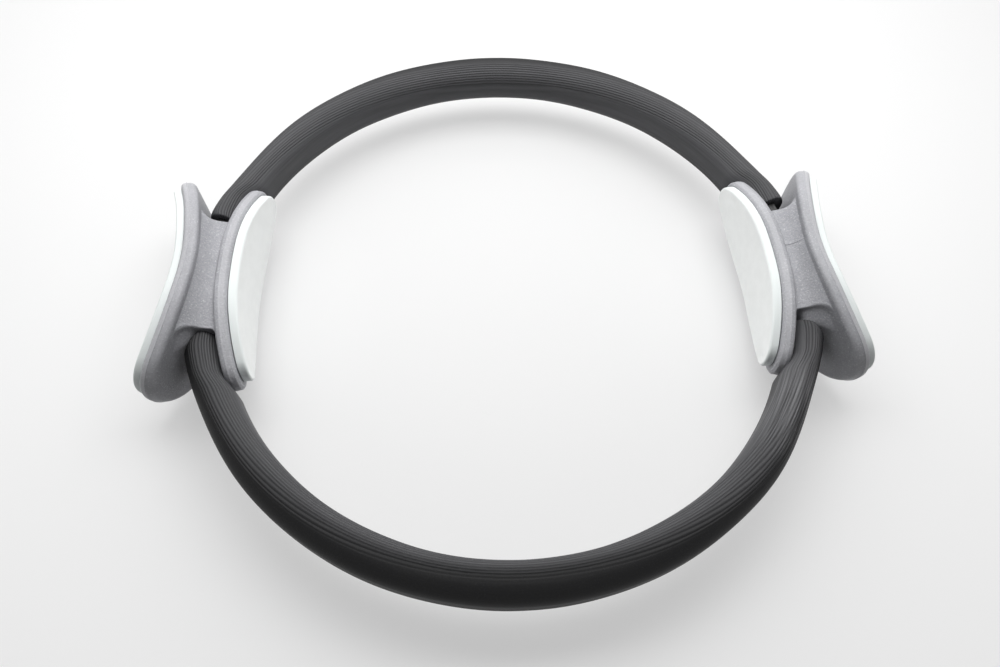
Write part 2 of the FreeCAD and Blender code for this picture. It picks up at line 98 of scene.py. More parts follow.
WEB_HALF_LONG = 35 * MM
WEB_INNER_HIGH = 21.8 * MM  # half height of the web's middle beside the inner wing
WEB_INNER_FALL = 4.3 * MM  # what it falls by towards the mouths
WEB_OUTER_HIGH = 27.8 * MM  # the same beside the outer wing
WEB_OUTER_FALL = 3.2 * MM
WEB_RISE = 0.4  # share of the rise between them that is straight, while the rest curves up
WEB_DIP = 0.5 * MM  # hollow of the web between the wings
WEB_SINK = 1.2 * MM  # what the web runs on into the wings
WEB_EDGE = (0.8 * MM, 2.6 * MM)  # rounding of the mouth's upper edge at the inner and the outer wing
WEB_OUTER_FILLET = 6.5 * MM
WEB_INNER_FILLET = 2.0 * MM
WEB_MOUTH_GAP = 15.5 * MM
WEB_LEAN_DROP = 9 * MM  # height over which a leaning wall comes forward
WEB_LEAN_OVER = 0.4  # share of the web's width over which it starts to
SLOT_HALF = (2.1 * MM, 10.2 * MM)  # band slot, across the ring and along its axis
HIGHLIGHT_CREST_DEPTH = 4.3 * MM  # depth of a rim's crest below the wing's face
HIGHLIGHT_REACH = 2.2 * MM  # how far the painted highlight, a paler tone, spreads from the crest of a rim
HIGHLIGHT_BEHIND = 0.35  # its share on the web's side of the crest
HIGHLIGHT_BACK = 0.3 * MM  # how far behind a wing's back it may still lie
MOULD_STEP = 4.5 * MM  # where the two mould halves meet on the right handle, off its middle
MOULD_FLASH = 0.4 * MM
MOULD_WIDE = 0.35 * MM
MOULD_SPAN = 0.9 * MM

# Steps of the meshes
RIM_STEP = 1.2 * MM
FACE_RINGS = 9
PAD_STEP = 0.8 * MM
PAD_BACK_RINGS = 8
PAD_FACE_RINGS = 12
WEB_RINGS = 30
WEB_CROWD = 2.2  # power that crowds those rings towards the outer wing
WEB_TOP_STEPS = 49
WEB_EDGE_STEPS = 9
WEB_WALL_STEPS = 22
MOULD_STEPS = 9
SLOT_STEPS = 41
SLOT_REACH = 1.3  # length of the slot's cutter over that of the web
BAND_STEPS = 64
DOUBLED = 0.002 * MM  # points nearer than this are merged
NO_LENGTH = 0.001 * MM
SEAM = 0.01 * MM  # the same where a sleeve's grid closes round the tube
CREASE = math.radians(38)  # faces that meet at more than this keep a crisp edge
SLEEVE_CREASE = math.radians(50)

SLEEVE_HALF = (10.4 * MM, 13.5 * MM)  # half the section, across the ring and along its axis
SLEEVE_CORNER = 9.8 * MM
SLEEVE_TURN = 8  # how sharply the section's flats turn into its corners
SLEEVE_BORE = (2.4 * MM, 10.4 * MM)
CROWN_GAP = 0.002 * MM  # what a quarter stops short of the crown, clear of the next one's flat end
# Rings of a sleeve's rounded end: share of the section, or 0 for the bore, and reach beyond that end.
SLEEVE_END = [(0.985, 0.35 * MM), (0.955, 0.6 * MM), (0.9, 0.7 * MM), (0, 0.5 * MM), (0, -9 * MM)]
SLEEVE_STEPS = 150
SLEEVE_POINTS = 420
SLEEVE_SWAY = 0.09 * MM  # unevenness of the foam's skin
PINCH_ROOM = 0.15 * MM  # between a sleeve and the wings that pinch it
PINCH_TIP = 9 * MM  # before a wing's tip, where its dent in the sleeve starts to fade
PINCH_FADE = 4 * MM  # beyond the tip, where the dent is gone
PINCH_SOFT = 1.2 * MM  # softness of the dent's start
PRESS_ROOM = 0.3 * MM  # between a sleeve's end and the web's flared mouth
PRESS_FADE = 32 * MM  # over which a sleeve's end gives way to that mouth
# Distances from the XZ plane: where the swelling beside the handle ends, where the sleeves run straightest,
# and where they have their full section again.
SWELL_REACH = 84 * MM
SLIM_AT = 82 * MM
PINCH_REACH = 136 * MM
RIB_PITCH = 1.56 * MM
RIB_DEPTH = 0.32 * MM
RIB_SPREAD = math.radians(43)
RIB_ENDS = (1.12, 0.92)  # shares of that spread where the ribs have run out and where they are full
RIB_AT_CROWN = math.radians(137)
RIB_WANDER = (0.05, 0.95)  # shares of a quarter between which the ribs wander to that angle
# Angles off the middle of the ribs: where the ribbed side's painted light, a paler tone for the light that
# falls on that side, starts, over how much it comes up, and where it starts to fall off and is gone.
PAINTED_LIGHT_FROM = {"rear": math.radians(-70), "front": math.radians(-45)}
PAINTED_LIGHT_FADE = math.radians(55)
PAINTED_LIGHT_TO = math.radians(80)
PAINTED_LIGHT_END = math.radians(125)
VALLEY_SHADE = 0.55  # how much of that painted light the valleys between the ribs lose, as painted shade
# Each quarter of the ring: the bodies of its handle and its crown; the sleeve's end and the web's mouth,
# from the XZ plane; the rib angle at that end, in degrees; how far the pinched foam swells in height and how
# much slimmer its outer side runs; how far the mouth's wall comes forward below its edge, and the share of
# the way to the outer wing where this starts.
QUARTERS = {
    ("rear", "left"): SimpleNamespace(
        handle="left_handle", crown="rear_half", end=42.5 * MM, mouth=33.8 * MM, ribs=88, swell=0.07,
        slimmer=2.4 * MM, lean=0.0, lean_from=0.5,
    ),
    ("rear", "right"): SimpleNamespace(
        handle="right_handle", crown="rear_half", end=44.5 * MM, mouth=31.8 * MM, ribs=92, swell=0.07,
        slimmer=2.2 * MM, lean=0.0, lean_from=0.5,
    ),
    ("front", "left"): SimpleNamespace(
        handle="left_handle", crown="front_half", end=36.2 * MM, mouth=36 * MM, ribs=100, swell=0.18,
        slimmer=1.3 * MM, lean=6.0 * MM, lean_from=0.5,
    ),
    ("front", "right"): SimpleNamespace(
        handle="right_handle", crown="front_bands", end=40.3 * MM, mouth=35 * MM, ribs=70, swell=0.02,
        slimmer=2.6 * MM, lean=7.5 * MM, lean_from=0.12,
    ),
}
BAND_HALF = (0.9 * MM, 10 * MM)
BAND_STEP = 1.0 * MM  # each band's middle from the middle of the stack
BAND_END = 4 * MM  # where the bands end inside a handle, from the XZ plane

SCUFF_AND_HIGHLIGHT_AT = (0.146, -0.09, 0.046)  # a paler spot on the near sleeve beside the right handle, partly wear and partly a painted highlight along the tube
SCUFF_AND_HIGHLIGHT_REACH = 40 * MM

# Soft panels: place, point that they face, size and power.
PANELS = {
    "rear_panel": ((0, 0.34, 0.62), (0, 0.22, 0), (1.3, 0.6), 3.8),
    "crown_panel": ((0, 0.18, 0.5), (0, 0.18, 0), (0.6, 0.3), 2.2),
    "far_panel": ((0, 0.75, 0.5), (0, 0.1, 0), (1.3, 0.5), 1.5),
}
# Floor: half its size, distances over which its shadows fade to plain white and over which its dimmer
# middle, painted shade round the ring, gives way, and the strength of that middle.
FLOOR_HALF = 60.0
FLOOR_FADE = (0.45, 1.6)
FLOOR_DIM = (0.1, 0.3)
FLOOR_DIM_TO = 0.84
# Light of the room in front, behind and overhead, as shares of white.
ROOM_FRONT = 0.05
ROOM_REAR = 0.6
ROOM_OVERHEAD = 0.1
CAMERA_PLACE = (-0.0221, -0.2269, 0.3767)
CAMERA_TURN = (29.310, -1.279, -2.827)  # degrees
CAMERA_LENS = 25.688


# Shapes


def rounded(corners, steps=7):
    """A line in metres through corners (inset, depth, radius) in millimetres, with an arc at each corner."""
    points = [np.array(corners[0][:2])]
    for (a, b, c) in zip(corners, corners[1:], corners[2:]):
        here, radius = np.array(b[:2]), b[2]
        back = (np.array(a[:2]) - here) / np.linalg.norm(np.array(a[:2]) - here)
        on = (np.array(c[:2]) - here) / np.linalg.norm(np.array(c[:2]) - here)
        half = math.acos(float(np.clip(back @ on, -1, 1))) / 2
        centre = here + (back + on) / np.linalg.norm(back + on) * radius / math.sin(half)
        first = here + back * radius / math.tan(half) - centre
        last = here + on * radius / math.tan(half) - centre
        for t in np.linspace(0, 1, steps):
            spoke = first * (1 - t) + last * t
            points.append(centre + spoke / np.linalg.norm(spoke) * radius)
    points.append(np.array(corners[-1][:2]))
    return np.array(points) * MM


def spaced(points, step):
    """Points along a line, no further apart than step."""
    out = [points[0]]
    for a, b in zip(points, points[1:]):
        count = max(1, math.ceil(np.linalg.norm(b - a) / step))
        out += [a + (b - a) * k / count for k in range(1, count + 1)]
    return np.array(out)


def oval(wing, steps=26, flat_steps=8):
    """Outline of a wing as points and outward normals in the YZ plane, counter-clockwise from +Y."""
    far = wing.half_long - wing.end
    high, flat, end = wing.half_high, wing.flat, wing.end
    shoulder = (high**2 + (far - flat) ** 2 - end**2) / (2 * (high - end))
    drop = shoulder - high
    turn = math.atan2(drop, far - flat)
    arcs = [(far, 0, end, 0, turn), (flat, -drop, shoulder, turn, math.pi / 2)]
    points, normals = [], []
    for across, up, radius, start, stop in arcs:
        for angle in np.linspace(start, stop, steps, endpoint=False):
            normal = np.array([math.cos(angle), math.sin(angle)])
            points.append(np.array([across, up]) + normal * radius)
            normals.append(normal)
    for y in np.linspace(flat, 0, flat_steps, endpoint=False):
        points.append(np.array([y, high]))
        normals.append(np.array([0.0, 1.0]))
    first, first_normals = np.array(points), np.array(normals)
    top = np.array([[0, high]])
    up = np.array([[0.0, 1.0]])
    flip = np.array([-1, 1])
    half = np.vstack([first, top, first[:0:-1] * flip])
    half_normals = np.vstack([first_normals, up, first_normals[:0:-1] * flip])
    end_point, end_normal = np.array([[-wing.half_long, 0]]), np.array([[-1.0, 0]])
    lower = half[:0:-1] * np.array([1, -1])
    lower_normals = half_normals[:0:-1] * np.array([1, -1])
    return np.vstack([half, end_point, lower]), np.vstack([half_normals, end_normal, lower_normals])


def bent(wing, yz, depth, shift=0.0):
    """Points of a wing at a depth below its bent face, as X, Y, Z about the ring's middle plane."""
    centre = wing.face + wing.side * wing.bend
    x = centre - wing.side * np.sqrt((wing.bend + depth) ** 2 - (yz[:, 0] - shift) ** 2)
    return np.column_stack([x, yz])


def fill_rings(wing, edge, depth_of, steps):
    """Rings from an edge in to the wing's spine. depth_of gives the depth at a share of the way in."""
    reach = wing.half_long - wing.end
    spine = np.column_stack([np.clip(edge[:, 0], -reach, reach), np.zeros(len(edge))])
    shares = np.linspace(0, 1, steps + 1)[1:]
    return [bent(wing, edge * (1 - t) + spine * t, depth_of(t)) for t in shares]


def skin(name, rings):
    """A mesh through rings of as many points each, merged where they meet."""
    count = len(rings[0])
    mesh = bpy.data.meshes.new(name)
    faces = []
    for k in range(len(rings) - 1):
        low, high = k * count, (k + 1) * count
        for i in range(count):
            following = (i + 1) % count
            faces.append((low + i, low + following, high + following, high + i))
    mesh.from_pydata(np.vstack(rings).tolist(), [], faces)
    tidy_mesh(mesh)
    return mesh


def tidy_mesh(mesh):
    """Merges doubled points, drops faces of no area and points all faces outwards."""
    shape = bmesh.new()
    shape.from_mesh(mesh)
    bmesh.ops.remove_doubles(shape, verts=shape.verts, dist=DOUBLED)
    bmesh.ops.dissolve_degenerate(shape, edges=shape.edges, dist=NO_LENGTH)
    bmesh.ops.recalc_face_normals(shape, faces=shape.faces)
    shape.to_mesh(mesh)
    shape.free()


def smooth(mesh):
    """Smooth shading with crisp edges at creases."""
    mesh.shade_smooth()
    mesh.set_sharp_from_angle(angle=CREASE)


def placed(mesh, turn):
    """Turns a mesh about the ring's axis and lifts it to the ring's middle plane."""
    mesh.transform(Matrix.Translation((0, 0, MIDDLE)) @ Matrix.Rotation(turn, 4, "Z"))


def close_ends(mesh):
    """Closes the open ends of a skin with flat faces."""
    shape = bmesh.new()
    shape.from_mesh(mesh)
    bmesh.ops.holes_fill(shape, edges=[e for e in shape.edges if e.is_boundary])
    bmesh.ops.triangulate(shape, faces=[f for f in shape.faces if len(f.verts) > 4])
    bmesh.ops.recalc_face_normals(shape, faces=shape.faces)
    shape.to_mesh(mesh)
    shape.free()


def add_object(name, mesh):
    """A new object in the scene."""
    piece = bpy.data.objects.new(name, mesh)
    bpy.context.scene.collection.objects.link(piece)
    return piece


def baked(piece):
    """The evaluated mesh of a piece as a plain one, with its modifiers gone."""
    graph = bpy.context.evaluated_depsgraph_get()
    graph.update()
    mesh = bpy.data.meshes.new_from_object(piece.evaluated_get(graph))
    piece.modifiers.clear()
    old, piece.data = piece.data, mesh
    bpy.data.meshes.remove(old)
    mesh.name = piece.name
    return mesh


# Handles


def wing_mesh(name, shift):
    """One bent wing with its stepped rim."""
    wing = WINGS[name]
    points, normals = oval(wing)
    rim = spaced(rounded(RIMS[name]), RIM_STEP)
    rings = [bent(wing, points - normals * inset, depth) for inset, depth in rim]
    face_edge = points - normals * rim[0][0]
    back_edge = points - normals * rim[-1][0]
    face = fill_rings(wing, face_edge, lambda t: 0.0, FACE_RINGS)
    back = fill_rings(wing, back_edge, lambda t: wing.thick, FACE_RINGS)
    mesh = skin(f"{name}_wing", face[::-1] + rings + back)
    mesh.transform(Matrix.Translation((0, shift, 0)))
    return mesh


def web_height(share, y):
    """Half height of the web at a share of the way from the inner to the outer wing."""
    inner = WEB_INNER_HIGH - WEB_INNER_FALL * (y / WEB_HALF_LONG) ** 2
    outer = WEB_OUTER_HIGH - WEB_OUTER_FALL * np.abs(y / WEB_HALF_LONG) ** 3
    rise = WEB_RISE * share + (1 - WEB_RISE) * share**2
    return inner + (outer - inner) * rise - WEB_DIP * np.sin(math.pi * share)


def flare(distance, radius):
    """What a round fillet stands out at a distance from the wall it runs into."""
    room = np.clip(radius - distance, 0, radius)
    return radius - np.sqrt(radius**2 - room**2)


def step_up(share):
    """0 below 0 and 1 above 1, smooth between."""
    share = np.clip(share, 0, 1)
    return share * share * (3 - 2 * share)


def mouth_flare(share):
    """What the web's mouth stands out at a share of the way from the inner to the outer wing."""
    outer = flare((1 - share) * WEB_MOUTH_GAP, WEB_OUTER_FILLET)
    return outer + flare(share * WEB_MOUTH_GAP, WEB_INNER_FILLET)


def edge_round(share):
    """Rounding of the mouth's upper edge at a share of the way from the inner to the outer wing."""
    return WEB_EDGE[0] + (WEB_EDGE[1] - WEB_EDGE[0]) * share**2


def mouth_wall(share, drop, quarter):
    """Distance of a mouth's wall from the XZ plane, at a drop below its upper edge."""
    forward = quarter.lean * step_up((share - quarter.lean_from) / WEB_LEAN_OVER)
    return quarter.mouth + mouth_flare(share) + forward * step_up(drop / WEB_LEAN_DROP)


def web_outline(share, flash, quarters):
    """Upper and lower side and both mouths of the web, as a closed loop of Y and Z."""
    edge = edge_round(share)
    inside = [quarter.mouth + mouth_flare(share) - edge for quarter in quarters]
    even = np.linspace(-inside[0], inside[1], WEB_TOP_STEPS)
    at_step = MOULD_STEP + np.linspace(-1, 1, MOULD_STEPS) * MOULD_SPAN
    y = np.unique(np.concatenate([even, at_step]))
    top = web_height(share, y)
    top = top + flash * MOULD_FLASH * np.exp(-(((y - MOULD_STEP) / MOULD_WIDE) ** 2))
    sides = []
    for quarter, flat, height in zip(quarters, inside, (top[0], top[-1])):
        turn = np.linspace(0, math.pi / 2, WEB_EDGE_STEPS)[1:]
        corner = np.column_stack([flat + edge * np.sin(turn), height - edge * (1 - np.cos(turn))])
        z = np.linspace(corner[-1, 1], 0, WEB_WALL_STEPS)[1:]
        wall = np.column_stack([mouth_wall(share, corner[-1, 1] - z, quarter), z])
        sides.append(np.vstack([corner, wall]))
    half = np.vstack([sides[0][::-1] * np.array([-1, 1]), np.column_stack([y, top]), sides[1]])
    return np.vstack([half, half[-2:0:-1] * np.array([1, -1])])


def web_mesh(flash, shift, quarters):
    """The saddle between the two wings, which runs up to the outer wing's rim."""
    inner, outer = WINGS["inner"], WINGS["outer"]
    rings = []
    for t in np.linspace(0, 1, WEB_RINGS):
        share = 1 - (1 - t) ** WEB_CROWD
        outline = web_outline(share, flash, quarters)
        start = bent(inner, outline, inner.thick, shift)[:, :1]
        stop = bent(outer, outline, outer.thick, shift)[:, :1]
        rings.append(np.hstack([start + share * (stop - start), outline]))
    first, last = rings[0].copy(), rings[-1].copy()
    first[:, 0] -= WEB_SINK
    last[:, 0] += WEB_SINK
    mesh = skin("web", [first] + rings + [last])
    close_ends(mesh)
    return mesh


def slot_mesh():
    """Space of the band slot through the web."""
    angles = np.linspace(-1, 1, SLOT_STEPS) * math.asin(SLOT_REACH * WEB_HALF_LONG / RING)
    across, up = SLOT_HALF
    rings = []
    for angle in angles:
        out = np.array([math.cos(angle), math.sin(angle), 0])
        corners = [(-across, -up), (across, -up), (across, up), (-across, up)]
        rings.append(np.array([out * (RING + r) + np.array([0, 0, z]) for r, z in corners]))
    mesh = skin("slot", rings)
    close_ends(mesh)
    return mesh


def points_of(mesh):
    """The points of a mesh as rows of X, Y and Z."""
    co = np.empty(len(mesh.vertices) * 3)
    mesh.vertices.foreach_get("co", co)
    return co.reshape(-1, 3)


def outline_gap(outline, yz):
    """Distance of each point from the nearest point of an outline in the YZ plane."""
    return np.array([np.min(np.hypot(*(outline - spot).T)) for spot in yz])


def mark(mesh, name, values):
    """Stores a value for each point of a mesh, for its material to read."""
    mesh.attributes.new(name, "FLOAT", "POINT").data.foreach_set("value", values)


def mark_rim_highlights(mesh, shift):
    """Stores how near each point of a handle lies to the crest of a wing's rim, for a painted highlight
    along the crests that is stronger on their pad side.
    """
    co = points_of(mesh)
    yz = co[:, 1:] - np.array([shift, 0])
    painted_highlight = np.zeros(len(co))
    for wing in WINGS.values():
        within = np.clip(yz, -wing.half_long, wing.half_long)
        back = bent(wing, within, wing.thick)[:, 0]
        on_wing = (co[:, 0] - back) * wing.side > -HIGHLIGHT_BACK
        crest = bent(wing, within, HIGHLIGHT_CREST_DEPTH)[:, 0]
        pad_side = np.where((co[:, 0] - crest) * wing.side > 0, 1.0, HIGHLIGHT_BEHIND)
        points, _ = oval(wing)
        gap = outline_gap(points, yz)
        painted_highlight = np.maximum(painted_highlight, on_wing * pad_side * wing.painted_highlight * np.exp(-((gap / HIGHLIGHT_REACH) ** 2)))
    mark(mesh, "painted_highlight", painted_highlight)


def make_handle(side, turn, material):
    """One moulding: both wings and the web joined, with the band slot cut through."""
    flash = 1.0 if side == "right" else 0.0
    shift = WING_SHIFT[side]
    # The web's two mouths from -Y to +Y, as they are drawn before the handle is turned
    order = ("front", "rear") if side == "right" else ("rear", "front")
    quarters = [QUARTERS[half, side] for half in order]
    piece = add_object(f"{side}_handle", wing_mesh("outer", shift))
    tools = [
        ("UNION", add_object("tool", wing_mesh("inner", shift))),
        ("UNION", add_object("tool", web_mesh(flash, shift, quarters))),
        ("DIFFERENCE", add_object("tool", slot_mesh())),
    ]
    for operation, tool in tools:
        join = piece.modifiers.new(operation, "BOOLEAN")
        join.operation = operation
        join.object = tool
        join.solver = "EXACT"
    mesh = baked(piece)
    for _, tool in tools:
        bpy.data.meshes.remove(tool.data)
    tidy_mesh(mesh)
    mark_rim_highlights(mesh, shift)
    placed(mesh, turn)
    smooth(mesh)
    mesh.materials.clear()
    mesh.materials.append(material)
    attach(piece, f"{side}_handle")
    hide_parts(f"{side}_handle_body")


# Pads


def make_pad(side, wing_name, turn, material):
    """Foam pad with a rounded face edge and a slight crown. The attribute cut marks its edge."""
    wing = WINGS[wing_name]
    short = SimpleNamespace(**{**vars(wing), "half_long": wing.half_long - PAD_SHORT[wing_name]})
    points, normals = oval(short)
    inset, wide = wing.pad_inset / MM, PAD_RIM / MM
    glue, face = -PAD_GLUE / MM, -(PAD_GLUE + PAD_THICK[wing_name] - PAD_CROWN) / MM
    corners = [
        (inset + wide, glue, 0), (inset, glue, PAD_BACK_ROUND / MM),
        (inset + PAD_DRAFT / MM, face, PAD_ROUND / MM), (inset + wide, face, 0),
    ]
    rim = spaced(rounded(corners), PAD_STEP)
    rings = [bent(wing, points - normals * a, depth) for a, depth in rim]
    edge = points - normals * rim[-1][0]

    def bulge(t):
        """Depth of the pad's face, which stands out most along its spine."""
        return face * MM - PAD_CROWN * math.sin(t * math.pi / 2)

    back = fill_rings(short, edge, lambda t: -PAD_GLUE, PAD_BACK_RINGS)
    front = fill_rings(short, edge, bulge, PAD_FACE_RINGS)
    mesh = skin(f"{side}_{wing_name}_foam", back[::-1] + rings + front)
    gap = outline_gap(points - normals * wing.pad_inset, points_of(mesh)[:, 1:])
    mark(mesh, "cut", 1 - step_up((gap - PAD_DRAFT) / PAD_ROUND))
    rearwards = PAD_SHIFT[wing_name] * math.cos(turn)
    mesh.transform(Matrix.Translation((0, WING_SHIFT[side] + rearwards, 0)))
    placed(mesh, turn)
    mesh.shade_smooth()
    mesh.materials.append(material)
    piece = add_object(f"{side}_{wing_name}_foam", mesh)
    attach(piece, f"{side}_handle")
    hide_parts(f"{side}_{wing_name}_pad")


# Node trees


class Field:
    """A value in a node tree that takes part in plain arithmetic."""

    def __init__(self, tree, socket):
        self.tree = tree
        self.socket = socket

    def operate(self, operation, *others):
        node = self.tree.nodes.new("ShaderNodeMath")
        node.operation = operation
        for slot, thing in zip(node.inputs, (self, *others)):
            if isinstance(thing, Field):
                self.tree.links.new(thing.socket, slot)
            else:
                slot.default_value = thing
        return Field(self.tree, node.outputs[0])

    def __add__(self, other):
        return self.operate("ADD", other)

    def __sub__(self, other):
        return self.operate("SUBTRACT", other)

    def __mul__(self, other):
        return self.operate("MULTIPLY", other)

    def __truediv__(self, other):
        return self.operate("DIVIDE", other)

    def sin(self):
        return self.operate("SINE")

    def cos(self):
        return self.operate("COSINE")

    def abs(self):
        return self.operate("ABSOLUTE")

    def clamp(self, low, high):
        return self.operate("MAXIMUM", low).operate("MINIMUM", high)


def ramp(value, low, high):
    """0 at low and 1 at high, smooth between them and level beyond. Low may be the greater one."""
    node = value.tree.nodes.new("ShaderNodeMapRange")
    node.interpolation_type = "SMOOTHSTEP"
    value.tree.links.new(value.socket, node.inputs["Value"])
    node.inputs["From Min"].default_value = low
    node.inputs["From Max"].default_value = high
    return Field(value.tree, node.outputs["Result"])


def shape_tree(name, sizes):
    """A new tree with these sizes and a finish as inputs, and its input and output nodes."""
    tree = bpy.data.node_groups.new(name, "GeometryNodeTree")
    for size in sizes:
        tree.interface.new_socket(size, in_out="INPUT", socket_type="NodeSocketFloat")
    tree.interface.new_socket("Finish", in_out="INPUT", socket_type="NodeSocketMaterial")
    tree.interface.new_socket("Geometry", in_out="OUTPUT", socket_type="NodeSocketGeometry")
    return tree, tree.nodes.new("NodeGroupInput"), tree.nodes.new("NodeGroupOutput")


def store(tree, kind, domain, name, socket):
    """A node that stores a value on the mesh under a name."""
    node = tree.nodes.new("GeometryNodeStoreNamedAttribute")
    node.data_type = kind
    node.domain = domain
    node.inputs["Name"].default_value = name
    tree.links.new(socket, node.inputs["Value"])
    return node


def sleeve_tree():
    """Quarter sleeve: a grid wrapped round the ring's arc, with fine ribs that wander round it."""
    sizes = [
        "Ring Radius", "Start", "Sweep", "Half Thick", "Half High", "Corner", "Rib Pitch", "Rib Depth",
        "Rib Spread", "Rib At Mouth", "Rib At Crown", "Painted Light From", "Height",
    ]
    tree, given, result = shape_tree("ribbed_sleeve", sizes)
    v = {name: Field(tree, given.outputs[name]) for name in sizes}

    grid = tree.nodes.new("GeometryNodeMeshGrid")
    grid.inputs["Size X"].default_value = 1
    grid.inputs["Size Y"].default_value = 1
    grid.inputs["Vertices X"].default_value = SLEEVE_STEPS
    grid.inputs["Vertices Y"].default_value = SLEEVE_POINTS
    on_grid = tree.nodes.new("ShaderNodeSeparateXYZ")
    tree.links.new(tree.nodes.new("GeometryNodeInputPosition").outputs[0], on_grid.inputs[0])
    along = Field(tree, on_grid.outputs["X"]) + 0.5
    turn = Field(tree, on_grid.outputs["Y"]) * math.tau + math.pi / 2

    ribs_at = v["Rib At Mouth"] + (v["Rib At Crown"] - v["Rib At Mouth"]) * ramp(along, *RIB_WANDER)
    off = turn - ribs_at
    wave = (off * v["Corner"] / v["Rib Pitch"] * math.pi).sin().abs()
    zone = ramp(off.abs() / v["Rib Spread"], *RIB_ENDS)
    skin_radius = v["Corner"] - v["Rib Depth"] * zone * (wave * -1 + 1)
    skin_radius = skin_radius + ((along * 21).sin() + (along * 9.3 + turn * 2).sin()) * SLEEVE_SWAY
    flat_out = (turn.cos() * SLEEVE_TURN).clamp(-1, 1) * (v["Half Thick"] - v["Corner"])
    flat_up = (turn.sin() * SLEEVE_TURN).clamp(-1, 1) * (v["Half High"] - v["Corner"])
    out = flat_out + turn.cos() * skin_radius
    up = flat_up + turn.sin() * skin_radius
    angle = v["Start"] + v["Sweep"] * along
    radius = v["Ring Radius"] + out

    point = tree.nodes.new("ShaderNodeCombineXYZ")
    place = (angle.cos() * radius, angle.sin() * radius, v["Height"] + up)
    for slot, value in zip(point.inputs, place):
        tree.links.new(value.socket, slot)
    paper = tree.nodes.new("ShaderNodeCombineXYZ")
    tree.links.new((along * v["Sweep"].abs() * v["Ring Radius"]).socket, paper.inputs[0])
    tree.links.new((turn * v["Corner"]).socket, paper.inputs[1])

    # Painted light: a paler tone on the ribbed side, where the light falls, with painted shade in the
    # valleys between the ribs.
    lit_side = ramp(off - v["Painted Light From"], 0, PAINTED_LIGHT_FADE) * ramp(off, PAINTED_LIGHT_END, PAINTED_LIGHT_TO)
    valley = zone * (wave * -1 + 1)
    painted_light = lit_side * (valley * -VALLEY_SHADE + 1)
    lie = store(tree, "FLOAT2", "CORNER", "lie", paper.outputs[0])
    painted_light_side = store(tree, "FLOAT", "POINT", "painted_light_side", painted_light.socket)
    move = tree.nodes.new("GeometryNodeSetPosition")
    merge = tree.nodes.new("GeometryNodeMergeByDistance")
    merge.inputs["Distance"].default_value = SEAM
    shade = tree.nodes.new("GeometryNodeSetShadeSmooth")
    real = tree.nodes.new("GeometryNodeRealizeInstances")
    finish = tree.nodes.new("GeometryNodeSetMaterial")
    tree.links.new(point.outputs[0], move.inputs["Position"])
    tree.links.new(given.outputs["Finish"], finish.inputs["Material"])
    steps = [grid, lie, painted_light_side, move, merge, shade, real, finish]
    for first, second in zip(steps, steps[1:]):
        tree.links.new(first.outputs[0], second.inputs["Geometry"])
    tree.links.new(finish.outputs[0], result.inputs[0])
    return tree


def grown(name, tree, values):
    """An object made by a node tree with these inputs, as a plain mesh."""
    piece = add_object(name, bpy.data.meshes.new(name))
    maker = piece.modifiers.new(name, "NODES")
    maker.node_group = tree
    for item in tree.interface.items_tree:
        if item.in_out == "INPUT":
            maker[item.identifier] = values[item.name]
    baked(piece)
    return piece


def pinch(co, half, side):
    """Presses sleeve points in between the wings and against the web of the handle that they run into."""
    quarter = QUARTERS[half, side]
    end = quarter.end
    turned = -1 if side == "left" else 1
    near = np.abs(co[:, 1]) < PINCH_REACH
    x, y, z = co[near, 0] * turned, co[near, 1] * turned, co[near, 2] - MIDDLE
    thick = SLEEVE_HALF[0]

    def edges(at):
        """X of the sleeve's inner and outer edge at a Y."""
        return np.sqrt((RING - thick) ** 2 - at**2), np.sqrt((RING + thick) ** 2 - at**2)

    def pressed(wing, edge, way):
        """How far a wing's back stands past an edge of the sleeve, fading out beyond the wing's tip."""
        at = np.clip(y, -wing.half_long, wing.half_long)
        at_edge = np.sqrt(edge**2 - at**2)
        back = bent(wing, np.column_stack([at, at]), wing.thick, WING_SHIFT[side])[:, 0]
        back = back + way * PINCH_ROOM
        past = step_up((np.abs(y) - wing.half_long + PINCH_TIP) / (PINCH_FADE + PINCH_TIP))
        room = (back - at_edge) * way
        return (room + np.sqrt(room**2 + PINCH_SOFT**2)) / 2 * (1 - past)

    low, high = edges(y)
    share = (x - low) / (high - low)
    across = np.clip(share, 0, 1)
    fade = np.clip((end + PRESS_FADE - np.abs(y)) / PRESS_FADE, 0, 1)
    drop = web_height(across, WEB_HALF_LONG) - edge_round(across) - np.abs(z)
    wall = mouth_wall(across, drop, quarter)
    y = y + np.sign(y) * np.maximum(wall + PRESS_ROOM - end, 0) * fade**2
    low, high = edges(y)
    low = low + pressed(WINGS["inner"], RING - thick, 1)
    high = high - pressed(WINGS["outer"], RING + thick, -1)
    from_end = np.abs(y) - end
    filling = step_up((np.abs(y) - SLIM_AT) / (PINCH_REACH - SLIM_AT))
    high = high - quarter.slimmer * step_up(from_end / (SLIM_AT - end)) * (1 - filling)
    swell = 1 + quarter.swell * (1 - step_up(from_end / (SWELL_REACH - end)))
    co[near] = np.column_stack([(low + share * (high - low)) * turned, y * turned, MIDDLE + z * swell])
    return co


